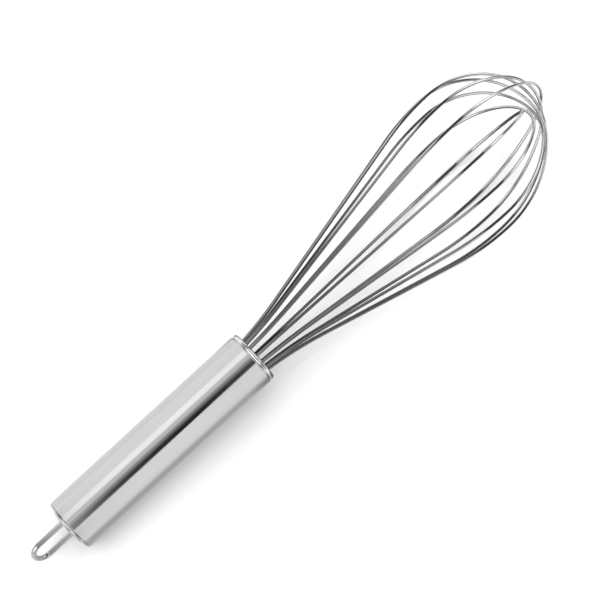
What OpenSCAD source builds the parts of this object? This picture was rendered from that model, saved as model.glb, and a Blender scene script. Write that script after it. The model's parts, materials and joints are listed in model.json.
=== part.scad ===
// Balloon whisk: a steel tube handle, a balloon of bent wire loops and a swivelling hanging loop.
// The whisk lies on a flat surface, on the rear edge of its handle and its two lowest wires.
// The handle's axis leans up towards the tip, which points along +X.

/* [Handle] */
// Outer diameter of the handle tube
handle_d = 25; // [23:0.5:32]
// Length of the handle tube
handle_len = 103; // [90:1:140]
// Wall thickness of the handle tube
handle_wall = 0.8; // [0.6:0.1:1]
// Width of the chamfer on the tube's two ends
handle_chamfer = 0.3; // [0.1:0.1:0.5]

/* [Balloon] */
// Number of wire loops, each of which makes two strands
loop_count = 7; // [5:1:8]
// Diameter of the balloon's wire
wire_d = 1.4; // [1.2:0.1:1.6]
// Largest diameter of the balloon, over the outside of its wires
balloon_d = 68.6; // [65:0.2:72]
// Distance from the handle to the widest place of the balloon
shoulder_x = 126; // [124:0.5:130]
// How far the wires' widest places are set forward on the +Y side, and back on the -Y side
balloon_skew = 6; // [0:0.5:6]
// Turn of the outermost loop towards its neighbour, from even spacing
outer_loop_turn = 4; // [-4:0.5:6]
// Distance from the handle to the innermost crossing at the tip
first_pole_x = 159; // [157:0.5:164]
// Distance between one crossing at the tip and the next
pole_step = 2.2; // [1.8:0.1:2.4]

/* [Wire bends] */
// Radius of the outward bend where a strand leaves the handle
flare_bend_r = 180; // [120:5:180]
// Radius of the inward bend before the widest place
shoulder_bend_r = 110; // [80:5:110]
// Angle at which the tight bend of the tip takes over from the wide one
tip_bend_angle = 45; // [42:1:48]
// Length of the straight stretch where a loop crosses the axis
tip_flat = 1; // [0.8:0.1:2]

/* [Wire seat] */
// Radius of the ring on which the strands leave the handle
exit_ring_r = 8; // [7:0.1:8.4]
// Angle between a strand and the handle's axis where it leaves
exit_angle = 5.5; // [3:0.5:6]
// Distance from the end of the tube to the place where a strand starts to bend
exit_x = 1; // [0.8:0.1:1.5]
// Length of the wire holder inside the tube
holder_len = 16; // [12:1:20]
// Length of the resin plug behind the wire holder
resin_len = 10; // [7:1:12]
// Length of wire left inside the handle
wire_seat_len = 23; // [19:1:23]
// Radius of the rolled bead on the front ring
bead_r = 1.15; // [1:0.05:1.3]
// Wall thickness of the front ring's sleeve
sleeve_wall = 0.6; // [0.4:0.1:0.8]

/* [Rear cap] */
// Thickness of the cap's flange, which covers the tube's end
cap_flange = 1; // [0.8:0.1:1.5]
// Thickness of the cap inside the tube
cap_seat = 3.5; // [3:0.5:5]
// Length of the cap's skirt beyond that
cap_skirt = 3.5; // [3:0.5:6]

/* [Hanging loop] */
// Diameter of the hanging loop's wire
hanger_wire_d = 2.4; // [2:0.1:2.6]
// Distance between the centre lines of its two legs
hanger_width = 10; // [9:0.2:10.4]
// How far it stands out from the cap
hanger_reach = 20.5; // [16:0.5:26]
// Turn of the loop about the handle's axis, from upright towards +Y
hanger_turn = 24; // [0:1:180]
// Radius of the swivel boss where it turns in the cap
boss_r = 7.5; // [7.3:0.1:7.8]
// Radial play between the boss and the cap
boss_play = 0.05; // [0.03:0.01:0.1]

/* [Hidden] */

steel = [0.80, 0.80, 0.79];
bright_steel = [0.88, 0.88, 0.88];
holder_grey = [0.72, 0.72, 0.70];
resin_grey = [0.55, 0.55, 0.52];

round_fn = 96;
bend_fn = 360;
wire_fn = 48;

// How far a cut runs on past the end of what it cuts
cut = 1;

handle_r = handle_d / 2;
bore_r = handle_r - handle_wall;
wire_r = wire_d / 2;

// Every second stretch of a wire is a hair thinner and laps into its neighbours, so that
// each joint between two stretches is a clean step and not a seam of touching surfaces.
hair = 0.01;
lap = 0.3;
thin_r = wire_r - hair;

// Front ring and wire holder
bead_inset = 0.15;
bead_gap = 0.05;
nose_play = 0.1;
face_depth = 0.4;
sleeve_in_r = bore_r - sleeve_wall;
bead_ring_r = handle_r - bead_r - bead_inset;
bead_x = bead_r + bead_gap;
holder_nose_r = bead_ring_r - bead_r - nose_play;
holder_step_x = -0.6;
holder_face_x = exit_x - face_depth;

// The loops stand in planes through the axis, turned about it from upright. The outermost one is
// closer to its neighbour than the rest, and half of that turn rolls the whole balloon, so that
// the whisk rests on two strands at the same level.
strand_spacing = 180 / loop_count;
function plane_turn(k) =
    90 + (k - 0.5) * strand_spacing + outer_loop_turn * (k == loop_count ? -0.5 : 0.5);

// Place along the axis where a strand is widest. A loop has a strand on each side, 1 and -1.
function belly_x(k, side) = shoulder_x + side * balloon_skew * cos(plane_turn(k));

// One strand lies in its loop's plane, as (distance along the axis, distance from it).
// It runs from the exit through the flare bend, a straight stretch and the shoulder bend.
// The straight stretch is the inner tangent of the two bends.
belly_r = balloon_d / 2 - wire_r;
bend_sum = flare_bend_r + shoulder_bend_r;
flare_centre = [
    exit_x - flare_bend_r * sin(exit_angle),
    exit_ring_r + flare_bend_r * cos(exit_angle)
];
function shoulder_centre(bx) = [bx, belly_r - shoulder_bend_r];
function bend_line(bx) = shoulder_centre(bx) - flare_centre;
function slope(bx) = atan2(bend_line(bx).y, bend_line(bx).x) + asin(bend_sum / norm(bend_line(bx)));
function straight_len(bx) = sqrt(bend_line(bx) * bend_line(bx) - bend_sum * bend_sum);
function straight_start(bx) = flare_centre + flare_bend_r * [sin(slope(bx)), -cos(slope(bx))];

// Past the shoulder a wide bend and a tight one bring the strand round to its pole, where it
// crosses the axis. Their radii are the two that reach both the belly's radius and the pole.
tip_sin = sin(tip_bend_angle);
tip_cos = cos(tip_bend_angle);
tip_det = tip_sin * tip_cos - (1 - tip_sin) * (1 - tip_cos);
tip_rise = belly_r - tip_flat / 2;
function pole_x(k) = first_pole_x + (k - 1) * pole_step;
function wide_r(k, bx) = (tip_cos * (pole_x(k) - bx) - (1 - tip_sin) * tip_rise) / tip_det;
function tight_r(k, bx) = (tip_sin * tip_rise - (1 - tip_cos) * (pole_x(k) - bx)) / tip_det;

// Rear cap
cap_inset = 0.2;
cap_wall = 1;
cap_face_x = -handle_len - cap_flange;
cap_inner_x = -handle_len + cap_seat;
cap_edge_r = cap_flange / 2;
cap_rim_r = handle_r - cap_inset - cap_edge_r;

// Hanging loop and its swivel
boss_head_lip = 1.1;
boss_head = 0.8;
boss_gap = 0.1;
boss_tail = 1.4;
washer_lip = 2.5;
washer_thick = 1.2;
hanger_cover = 1;
boss_head_r = boss_r + boss_head_lip;
boss_end_x = cap_inner_x + boss_tail;
hanger_r = hanger_width / 2;
hanger_wire_r = hanger_wire_d / 2;
hanger_seat_x = boss_end_x - hanger_cover;
hanger_bend_x = cap_face_x - hanger_reach + hanger_r + hanger_wire_r;

// Lean that brings the two lowest strands down to the level of the handle's rear edge, which is
// the edge between the tube's outside and its rear chamfer
rest_len = handle_len - handle_chamfer;
low_view = cos((strand_spacing + outer_loop_turn) / 2);
low_bellies = [belly_x(1, -1), belly_x(loop_count, 1)];
lean_step = 0.05;
function strand_lean(a, bx) =
    let (
        along = bx - shoulder_bend_r * sin(a) + rest_len,
        down = (belly_r - shoulder_bend_r * (1 - cos(a))) * low_view - handle_r
    )
    atan2(down, along) + asin(wire_r / norm([along, down]));
lean = max([for (bx = low_bellies, a = [0 : lean_step : slope(bx)]) strand_lean(a, bx)]);
rear_drop = rest_len * sin(lean) + handle_r * cos(lean);

// Place of the origin: under the middle of the whole whisk, from the hanging loop to the foremost
// place of the outermost loop, which is on its lower strand
tip_r = tight_r(loop_count, low_bellies[1]);
tip_lean = -sin(plane_turn(loop_count)) * sin(lean);
front_end = (pole_x(loop_count) - tip_r) * cos(lean) + tip_flat / 2 * tip_lean
    + tip_r * norm([cos(lean), tip_lean]) + wire_r;
rear_end = hanger_bend_x * cos(lean) - hanger_r - hanger_wire_r;
middle_x = (front_end + rear_end) / 2;

module laid() {
    translate([-middle_x, 0, rear_drop]) rotate([0, -lean, 0]) children();
}

// Turns a profile, given as (radius, distance along the axis), about the handle's axis
module turned() {
    rotate([0, 90, 0]) rotate_extrude($fn = round_fn) children();
}

// Round bar of wire along the axis, from x0 to x1
module bar(x0, x1, r) {
    translate([x0, 0, 0]) rotate([0, 90, 0]) cylinder(h = x1 - x0, r = r, $fn = wire_fn);
}

// Bend of round wire about a centre in the XY plane, from one angle to another
module bend(centre, bend_r, from, to, r) {
    translate([centre.x, centre.y, 0])
        rotate([0, 0, from])
            rotate_extrude(angle = to - from, $fn = bend_fn)
                translate([bend_r, 0]) circle(r = r, $fn = wire_fn);
}

// The straight end of a strand, held inside the handle
module seated_end() {
    translate([exit_x, exit_ring_r, 0])
        rotate([0, 0, exit_angle]) bar(-wire_seat_len, lap, thin_r);
}

// All the wire ends, which the holder and the resin close round
module all_seated_ends() {
    for (k = [1 : loop_count], side = [0, 1])
        rotate([plane_turn(k), 0, 0]) mirror([0, side, 0]) seated_end();
}

// One strand of loop k, from inside the handle to its pole, widest at bx along the axis
module strand(k, bx) {
    wide_centre = [bx, belly_r - wide_r(k, bx)];
    tight_centre = [pole_x(k) - tight_r(k, bx), tip_flat / 2];
    lap_angle = lap / wide_r(k, bx) * 180 / PI;
    seated_end();
    bend(flare_centre, flare_bend_r, exit_angle - 90, slope(bx) - 90, wire_r);
    translate([straight_start(bx).x, straight_start(bx).y, 0])
        rotate([0, 0, slope(bx)]) bar(-lap, straight_len(bx) + lap, thin_r);
    bend(shoulder_centre(bx), shoulder_bend_r, 90, 90 + slope(bx), wire_r);
    bend(wide_centre, wide_r(k, bx), 90 - tip_bend_angle - lap_angle, 90 + lap_angle, thin_r);
    bend(tight_centre, tight_r(k, bx), 0, 90 - tip_bend_angle, wire_r);
}

module wire_loop(k) {
    pole_half = tip_flat / 2 + lap;
    color(bright_steel) laid() rotate([plane_turn(k), 0, 0]) {
        strand(k, belly_x(k, 1));
        mirror([0, 1, 0]) strand(k, belly_x(k, -1));
        translate([pole_x(k), 0, 0]) rotate([0, 0, 90]) bar(-pole_half, pole_half, thin_r);
    }
}

module handle_tube() {
    color(steel) laid() turned() difference() {
        polygon([
            [0, -handle_len],
            [handle_r - handle_chamfer, -handle_len],
            [handle_r, -handle_len + handle_chamfer],
            [handle_r, -handle_chamfer],
            [handle_r - handle_chamfer, 0],
            [0, 0]
        ]);
        translate([0, -handle_len - cut]) square([bore_r, handle_len + 2 * cut]);
    }
}

// Sleeve pressed into the tube, with a rolled bead that closes the tube's end
module front_ring() {
    color(bright_steel) laid() turned() {
        translate([sleeve_in_r, -holder_len]) square([sleeve_wall, holder_len + bead_x]);
        translate([bead_ring_r, bead_x]) circle(r = bead_r, $fn = wire_fn);
    }
}

module wire_holder() {
    color(holder_grey) laid() difference() {
        turned() {
            translate([0, -holder_len]) square([sleeve_in_r, holder_len + holder_step_x]);
            translate([0, -holder_len]) square([holder_nose_r, holder_len + holder_face_x]);
        }
        all_seated_ends();
    }
}

module resin_plug() {
    color(resin_grey) laid() difference() {
        bar_x = -holder_len - resin_len;
        translate([bar_x, 0, 0]) rotate([0, 90, 0]) cylinder(h = resin_len, r = bore_r, $fn = round_fn);
        all_seated_ends();
    }
}

module rear_cap() {
    color(steel) laid() turned() difference() {
        union() {
            translate([0, cap_face_x]) square([cap_rim_r, cap_flange]);
            translate([cap_rim_r, cap_face_x + cap_edge_r]) circle(r = cap_edge_r, $fn = wire_fn);
            translate([0, -handle_len]) square([bore_r, cap_seat + cap_skirt]);
        }
        translate([0, cap_face_x - cut])
            square([boss_r + boss_play, cap_flange + cap_seat + 2 * cut]);
        translate([0, cap_inner_x]) square([bore_r - cap_wall, cap_skirt + cut]);
    }
}

module hanger_leg() {
    translate([0, hanger_r, 0]) bar(hanger_bend_x, hanger_seat_x, hanger_wire_r);
}

module hanger_legs() {
    rotate([90 - hanger_turn, 0, 0]) for (side = [0, 1]) mirror([0, side, 0]) hanger_leg();
}

module hanging_loop() {
    color(bright_steel) laid() {
        hanger_legs();
        rotate([90 - hanger_turn, 0, 0])
            bend([hanger_bend_x, 0], hanger_r, 90, 270, hanger_wire_r);
    }
}

// Round boss that carries the loop and turns in the cap
module swivel_boss() {
    color(steel) laid() difference() {
        turned() {
            translate([0, cap_face_x - boss_gap - boss_head]) square([boss_head_r, boss_head]);
            translate([0, cap_face_x - boss_gap]) square([boss_r, boss_end_x - cap_face_x + boss_gap]);
        }
        hanger_legs();
    }
}

// Washer pressed on the boss inside the cap, which keeps the boss in
module swivel_washer() {
    color(steel) laid() turned()
        translate([boss_r, cap_inner_x + boss_gap]) square([washer_lip, washer_thick]);
}

handle_tube();
front_ring();
wire_holder();
resin_plug();
rear_cap();
swivel_boss();
swivel_washer();
hanging_loop();
for (k = [1 : loop_count])
    wire_loop(k);
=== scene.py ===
"""Balloon whisk lying on a pale studio floor."""

import json
import math

import bpy
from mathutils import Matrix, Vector


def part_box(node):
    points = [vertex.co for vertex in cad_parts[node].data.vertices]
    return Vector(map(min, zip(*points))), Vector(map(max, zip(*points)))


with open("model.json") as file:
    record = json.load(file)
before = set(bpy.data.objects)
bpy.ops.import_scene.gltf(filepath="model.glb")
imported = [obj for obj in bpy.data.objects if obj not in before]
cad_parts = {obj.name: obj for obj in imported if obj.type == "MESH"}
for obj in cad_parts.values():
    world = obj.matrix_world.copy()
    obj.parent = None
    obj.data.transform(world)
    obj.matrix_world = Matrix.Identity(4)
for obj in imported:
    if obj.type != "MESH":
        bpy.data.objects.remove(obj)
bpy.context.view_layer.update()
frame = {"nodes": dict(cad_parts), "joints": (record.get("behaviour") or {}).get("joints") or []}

# ---------------------------------------------------------------- the whisk's own directions

swivel = next(joint for joint in frame["joints"] if joint["name"] == "hanger_swivel")
AXIS = -Vector(swivel["axis"]).normalized()
LEAN = math.asin(AXIS.z)
SIDE = Vector((0, 1, 0))
UP = AXIS.cross(SIDE)

# Place of the handle's open end, measured along the axis from the frame's origin
ring_low, ring_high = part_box("front_ring")
MOUTH_ALONG = Vector((ring_high[0], 0, (ring_low[2] + ring_high[2]) / 2)).dot(AXIS)

# ---------------------------------------------------------------- objects


def add_object(name, data):
    thing = bpy.data.objects.new(name, data)
    bpy.context.scene.collection.objects.link(thing)
    return thing


def face_from(thing, back):
    """Turns a camera or a light so that it looks away from the direction back."""
    thing.rotation_mode = "QUATERNION"
    thing.rotation_quaternion = (-back).to_track_quat("-Z", "Y")


# ---------------------------------------------------------------- camera

CAMERA_AZIMUTH = math.radians(-42.55)
CAMERA_ELEVATION = math.radians(74.43)
CAMERA_DISTANCE = 0.7044
CAMERA_TARGET = Vector((0.0099, 0.0062, 0.017))

# Focal length and sensor width in millimetres
CAMERA_LENS = 97.1
CAMERA_SENSOR = 36

# Nearest and farthest distances seen
CAMERA_NEAR = 0.01
CAMERA_FAR = 50


def camera_back():
    """Unit vector from the target to the camera."""
    across = math.cos(CAMERA_ELEVATION)
    return Vector((
        math.sin(CAMERA_AZIMUTH) * across,
        -math.cos(CAMERA_AZIMUTH) * across,
        math.sin(CAMERA_ELEVATION),
    ))


def make_camera():
    data = bpy.data.cameras.new("camera")
    data.lens = CAMERA_LENS
    data.sensor_width = CAMERA_SENSOR
    data.clip_start = CAMERA_NEAR
    data.clip_end = CAMERA_FAR
    camera = add_object("camera", data)
    camera.location = CAMERA_TARGET + camera_back() * CAMERA_DISTANCE
    face_from(camera, camera_back())
    bpy.context.scene.camera = camera


# ---------------------------------------------------------------- materials

# Base colours are neutral greys, given like roughness as the (lowest, highest) over a surface.
# A grain is (along, across), the number of noise cells to a metre along the axis and across it.

# Part of the noise's own range that is spread over such a pair
NOISE_ENDS = (0.3, 0.7)
NOISE_ROUGHNESS = 0.6

# Brushed handle: fine lines along it, and wider smears in its gloss
BRUSHED_GRAIN = (40, 2200)
BRUSHED_DETAIL = 6
BRUSHED_SHADES = (0.64, 0.68)
BRUSHED_BUMP = 0.08
SMEAR_GRAIN = (20, 60)
SMEAR_DETAIL = 3
SMEAR_ROUGHNESS = (0.09, 0.14)

# Polished bead, hanging loop and wires: faint mottling
MOTTLE_GRAIN = (200, 400)
MOTTLE_DETAIL = 4
MOTTLE_SHADE = 0.02
MOTTLE_ROUGHNESS = 0.03
BEAD_SHADE = 0.86
BEAD_ROUGHNESS = 0.08
HANGER_SHADE = 0.56
HANGER_ROUGHNESS = 0.06

# Wires: mottled, with painted shade near the handle and a painted highlight towards the tip.
# Their shades are multiplied by this painted light, which goes from its first value to its second
# between two distances from the handle's open end.
WIRE_SHADES = (0.39, 0.43)
WIRE_ROUGHNESS = (0.05, 0.08)
WIRE_PAINTED_LIGHT = (0.62, 1.6)
WIRE_PAINTED_LIGHT_FROM = 0.05
WIRE_PAINTED_LIGHT_TO = 0.14

# Plastic and resin: a fine even texture
MOULD_GRAIN = (900, 900)
MOULD_DETAIL = 4
MOULD_SHADE = 0.03
MOULD_ROUGHNESS = 0.1
MOULD_BUMP = 0.15
HOLDER_SHADE = 0.55
HOLDER_ROUGHNESS = 0.35
RESIN_SHADE = 0.3
RESIN_ROUGHNESS = 0.3

# Height of the finest relief
BUMP_HEIGHT = 0.00005


class Nodes:
    """Builds one material's node tree round its Principled shader."""

    def __init__(self, name, metallic=0.0):
        self.material = bpy.data.materials.new(name)
        self.material.use_nodes = True
        self.tree = self.material.node_tree
        self.shader = self.tree.nodes["Principled BSDF"]
        self.shader.inputs["Metallic"].default_value = metallic

    def add(self, kind, inputs):
        """A new node with these values in its input sockets."""
        node = self.tree.nodes.new(kind)
        for socket, value in inputs.items():
            node.inputs[socket].default_value = value
        return node

    def link(self, output, target):
        self.tree.links.new(output, target)

    def along_axis(self, scale):
        """Object coordinates turned so that X runs along the handle, then scaled along and across."""
        place = self.add("ShaderNodeTexCoord", {})
        turned = self.add("ShaderNodeMapping", {"Rotation": (0, LEAN, 0)})
        scaled = self.add("ShaderNodeMapping", {"Scale": (scale[0], scale[1], scale[1])})
        self.link(place.outputs["Object"], turned.inputs["Vector"])
        self.link(turned.outputs["Vector"], scaled.inputs["Vector"])
        return scaled.outputs["Vector"]

    def noise(self, grain, detail):
        settings = {"Scale": 1.0, "Detail": detail, "Roughness": NOISE_ROUGHNESS}
        node = self.add("ShaderNodeTexNoise", settings)
        self.link(self.along_axis(grain), node.inputs["Vector"])
        return node.outputs["Fac"]

    def spread(self, value, ends, source=NOISE_ENDS):
        """Maps a value from the source's range to the range between two ends, and holds it there."""
        limits = {"From Min": source[0], "From Max": source[1], "To Min": ends[0], "To Max": ends[1]}
        node = self.add("ShaderNodeMapRange", limits)
        self.link(value, node.inputs["Value"])
        return node.outputs["Result"]

    def grey(self, value):
        """Makes a value the surface's neutral base colour."""
        node = self.add("ShaderNodeCombineColor", {})
        for channel in ("Red", "Green", "Blue"):
            self.link(value, node.inputs[channel])
        self.link(node.outputs["Color"], self.shader.inputs["Base Color"])

    def rough(self, value):
        self.link(value, self.shader.inputs["Roughness"])

    def bump(self, height, strength):
        node = self.add("ShaderNodeBump", {"Strength": strength, "Distance": BUMP_HEIGHT})
        self.link(height, node.inputs["Height"])
        self.link(node.outputs["Normal"], self.shader.inputs["Normal"])


def brushed_steel():
    """Satin steel with fine lines along the handle."""
    mat = Nodes("brushed_steel", metallic=1.0)
    lines = mat.noise(BRUSHED_GRAIN, BRUSHED_DETAIL)
    smears = mat.noise(SMEAR_GRAIN, SMEAR_DETAIL)
    mat.grey(mat.spread(lines, BRUSHED_SHADES))
    mat.rough(mat.spread(smears, SMEAR_ROUGHNESS))
    mat.bump(lines, BRUSHED_BUMP)
    return mat.material


def polished_steel(name, shade, roughness):
    """Polished steel with faint mottling."""
    mat = Nodes(name, metallic=1.0)
    mottle = mat.noise(MOTTLE_GRAIN, MOTTLE_DETAIL)
    mat.grey(mat.spread(mottle, (shade - MOTTLE_SHADE, shade + MOTTLE_SHADE)))
    mat.rough(mat.spread(mottle, (roughness, roughness + MOTTLE_ROUGHNESS)))
    return mat.material


def wire_steel():
    """Drawn stainless wire, with painted shade towards its seat in the handle and a painted
    highlight towards the tip.
    """
    mat = Nodes("wire_steel", metallic=1.0)
    mottle = mat.noise(MOTTLE_GRAIN, MOTTLE_DETAIL)
    place = mat.add("ShaderNodeSeparateXYZ", {})
    mat.link(mat.along_axis((1, 1)), place.inputs["Vector"])
    # Painted shade near the handle's open end, rising to a painted highlight towards the tip
    stretch = (MOUTH_ALONG + WIRE_PAINTED_LIGHT_FROM, MOUTH_ALONG + WIRE_PAINTED_LIGHT_TO)
    shade = mat.add("ShaderNodeMath", {})
    shade.operation = "MULTIPLY"
    mat.link(mat.spread(mottle, WIRE_SHADES), shade.inputs[0])
    mat.link(mat.spread(place.outputs["X"], WIRE_PAINTED_LIGHT, stretch), shade.inputs[1])
    mat.grey(shade.outputs["Value"])
    mat.rough(mat.spread(mottle, WIRE_ROUGHNESS))
    return mat.material


def moulded_plastic(name, shade, roughness):
    """Plain plastic or resin with a fine even texture."""
    mat = Nodes(name)
    texture = mat.noise(MOULD_GRAIN, MOULD_DETAIL)
    mat.grey(mat.spread(texture, (shade - MOULD_SHADE, shade + MOULD_SHADE)))
    mat.rough(mat.spread(texture, (roughness, roughness + MOULD_ROUGHNESS)))
    mat.bump(texture, MOULD_BUMP)
    return mat.material


def paint(names, material):
    for name in names:
        for slot in frame["nodes"][name].material_slots:
            slot.material = material


def paint_frame():
    """Gives every CAD node its material."""
    wires = [name for name in frame["nodes"] if name.startswith("wire_loop_")]
    paint(["handle_tube", "rear_cap", "swivel_boss", "swivel_washer"], brushed_steel())
    paint(["front_ring"], polished_steel("bright_steel", BEAD_SHADE, BEAD_ROUGHNESS))
    paint(["hanging_loop"], polished_steel("loop_steel", HANGER_SHADE, HANGER_ROUGHNESS))
    paint(wires, wire_steel())
    paint(["wire_holder"], moulded_plastic("holder_plastic", HOLDER_SHADE, HOLDER_ROUGHNESS))
    paint(["resin_plug"], moulded_plastic("cast_resin", RESIN_SHADE, RESIN_ROUGHNESS))


# ---------------------------------------------------------------- floor and light

# Distance from the middle of the floor to each of its edges
FLOOR_REACH = 6.0
FLOOR_SHADE = 0.50
FLOOR_ROUGHNESS = 0.9
FLOOR_SPECULAR = 0.1

# The key light is a very wide sun. With the world's light it brings the floor a little over
# white, so that only the closer shadows show.
KEY_POWER = 5.1
KEY_SPREAD = math.radians(90)
KEY_BACK = Vector((-0.12, 0.22, 0.97))
WORLD_LIGHT = 1.0
WORLD_COLOUR = (1.0, 1.0, 0.997, 1)


def make_floor():
    """A plain floor that the lights bring up to white."""
    turns = ((-1, -1), (1, -1), (1, 1), (-1, 1))
    mesh = bpy.data.meshes.new("floor")
    mesh.from_pydata([(x * FLOOR_REACH, y * FLOOR_REACH, 0) for x, y in turns], [], [(0, 1, 2, 3)])
    mat = Nodes("floor")
    mat.shader.inputs["Base Color"].default_value = (FLOOR_SHADE, FLOOR_SHADE, FLOOR_SHADE, 1)
    mat.shader.inputs["Roughness"].default_value = FLOOR_ROUGHNESS
    mat.shader.inputs["Specular IOR Level"].default_value = FLOOR_SPECULAR
    mesh.materials.append(mat.material)
    add_object("floor", mesh)


def make_key_light():
    data = bpy.data.lights.new("key_light", "SUN")
    data.angle = KEY_SPREAD
    data.energy = KEY_POWER
    light = add_object("key_light", data)
    light.location = KEY_BACK
    light.visible_glossy = False
    face_from(light, KEY_BACK)


def make_world():
    world = bpy.data.worlds.new("studio")
    world.use_nodes = True
    background = world.node_tree.nodes["Background"]
    background.inputs["Color"].default_value = WORLD_COLOUR
    background.inputs["Strength"].default_value = WORLD_LIGHT
    bpy.context.scene.world = world


# ---------------------------------------------------------------- reflected cards

# The steel gets its dark cores and white flashes from glowing cards that only reflections see.
# Most stand on a dome round the whisk.
DOME_RADIUS = 1.6

# A card is a grid of this many squares each way
CARD_STEPS = 24

# Height of one floor card over the next
FLOOR_CARD_GAP = 0.0001

# Ends and soft edges that several cards share, in degrees
OVERHEAD = (-14, 7)
OVERHEAD_SOFT = (5, 0)
WIDE = (-96, 78)
BRIGHT = (-66, 46)
GREY = (-44, 22)


def dome_point(along, across, radius):
    """A point on a dome round the whisk. Along leans from straight up towards the whisk's tip,
    and across leans towards +Y, both in degrees."""
    lean = math.radians(along)
    tilt = math.radians(across)
    flat = SIDE * math.sin(tilt) + UP * math.cos(tilt)
    return CAMERA_TARGET + (AXIS * math.sin(lean) + flat * math.cos(lean)) * radius


def glow(name, brightness):
    """A glowing finish that turns clear where the mesh's "fade" is 0."""
    material = bpy.data.materials.new(name)
    material.use_nodes = True
    nodes = material.node_tree.nodes
    links = material.node_tree.links
    nodes.clear()
    output = nodes.new("ShaderNodeOutputMaterial")
    emission = nodes.new("ShaderNodeEmission")
    emission.inputs["Color"].default_value = (1, 1, 1, 1)
    emission.inputs["Strength"].default_value = brightness
    clear = nodes.new("ShaderNodeBsdfTransparent")
    fade = nodes.new("ShaderNodeAttribute")
    fade.attribute_name = "fade"
    mix = nodes.new("ShaderNodeMixShader")
    links.new(fade.outputs["Fac"], mix.inputs["Fac"])
    links.new(clear.outputs["BSDF"], mix.inputs[1])
    links.new(emission.outputs["Emission"], mix.inputs[2])
    links.new(mix.outputs["Shader"], output.inputs["Surface"])
    return material


def edge_fade(value, ends, soft):
    """1 inside the ends, falling to 0 at them over the soft distance."""
    if soft == 0:
        return 1.0
    return min(1.0, (value - ends[0]) / soft, (ends[1] - value) / soft)


def grid_faces():
    """The squares of a card, as indices of its points."""
    row = CARD_STEPS + 1
    corners = [i * row + j for i in range(CARD_STEPS) for j in range(CARD_STEPS)]
    return [(corner, corner + 1, corner + row + 1, corner + row) for corner in corners]


def make_card(name, place, wide, high, brightness, soft):
    """A card seen only in reflections. Its points are place(u, v) for u in wide and v in high,
    each given as (low, high). It fades out at its edges over the two soft distances."""
    points = []
    fades = []
    for i in range(CARD_STEPS + 1):
        for j in range(CARD_STEPS + 1):
            u = wide[0] + (wide[1] - wide[0]) * i / CARD_STEPS
            v = high[0] + (high[1] - high[0]) * j / CARD_STEPS
            points.append(place(u, v))
            fades.append(edge_fade(u, wide, soft[0]) * edge_fade(v, high, soft[1]))
    mesh = bpy.data.meshes.new(name)
    mesh.from_pydata(points, [], grid_faces())
    mesh.attributes.new("fade", "FLOAT", "POINT").data.foreach_set("value", fades)
    mesh.materials.append(glow(name, brightness))
    card = add_object(name, mesh)
    card.visible_camera = False
    card.visible_diffuse = False
    card.visible_shadow = False


def dome_card(name, along, across, brightness, soft, lift=1.0):
    """A card on the dome, its ends and soft edges in degrees. Where two overlap, the one with
    the smaller lift, a factor on the dome's radius, is in front."""
    radius = DOME_RADIUS * lift
    make_card(name, lambda u, v: dome_point(u, v, radius), along, across, brightness, soft)


def floor_card(name, x_ends, y_ends, brightness, soft, layer):
    """A card just over the floor, its ends and soft edges in metres. Higher layers hide lower ones."""
    lift = layer * FLOOR_CARD_GAP
    make_card(name, lambda u, v: Vector((u, v, lift)), x_ends, y_ends, brightness, soft)


def make_overhead_cards():
    """The stripes that the handle and the straight stretches of wire show."""
    dome_card("dark_gap", OVERHEAD, (-35, -19), 0.02, OVERHEAD_SOFT)
    dome_card("dim_gap", OVERHEAD, (-19, -12), 0.16, OVERHEAD_SOFT)
    dome_card("grey_gap", OVERHEAD, (-12, -4), 0.36, OVERHEAD_SOFT)
    dome_card("pale_gap", OVERHEAD, (-4, 11), 0.72, OVERHEAD_SOFT)
    dome_card("bright_side", OVERHEAD, (14, 35), 1.28, OVERHEAD_SOFT)


def make_tip_cards():
    """The zones towards the tip, which the wires' bends show. Each zone is dark at its sides, so
    that the wires have dark edges."""
    dome_card("dark_overhead", (4, 26), WIDE, 0.04, (2, 16), 1.01)
    dome_card("dim_ahead", (20, 66), WIDE, 0.18, (6, 16), 1.02)
    dome_card("grey_ahead", (19, 42), GREY, 0.85, (6, 8), 1.017)
    dome_card("bright_ahead", (35, 64), BRIGHT, 1.7, (4, 14), 1.015)
    dome_card("dark_horizon", (60, 88), (-180, 180), 0.06, (3, 0), 1.01)


def make_rear_cards():
    """The zones back over the handle."""
    dome_card("dark_behind", (-24, -11), WIDE, 0.08, (2, 16), 1.01)
    dome_card("dim_behind", (-76, -18), WIDE, 0.18, (5, 16), 1.02)
    dome_card("grey_behind", (-32, -11), GREY, 0.62, (3, 8), 1.005)
    dome_card("bright_behind", (-72, -24), BRIGHT, 1.7, (4, 14), 1.015)


def make_floor_cards():
    """What the undersides of the handle and the wires show of the floor: a pale floor, with a
    painted reflection of shadow beside the handle and of shade under the wires.
    """
    whole = (-FLOOR_REACH, FLOOR_REACH)
    floor_card("pale_floor", whole, whole, 0.93, (0, 0), 1)
    # Painted reflection of the floor's shadow beside the handle
    floor_card("painted_shadow_beside_handle", (-0.16, 0.03), (-0.10, 0.03), 0.45, (0.02, 0.07), 2)
    # Painted reflection of shade under the wires
    floor_card("painted_shade_under_wires", (-0.032, 0.16), (-0.06, 0.06), 0.10, (0.02, 0.03), 3)


def make_studio():
    make_floor()
    make_overhead_cards()
    make_tip_cards()
    make_rear_cards()
    make_floor_cards()
    make_key_light()
    make_world()
    bpy.context.scene.view_settings.view_transform = "Standard"


make_camera()
paint_frame()
make_studio()
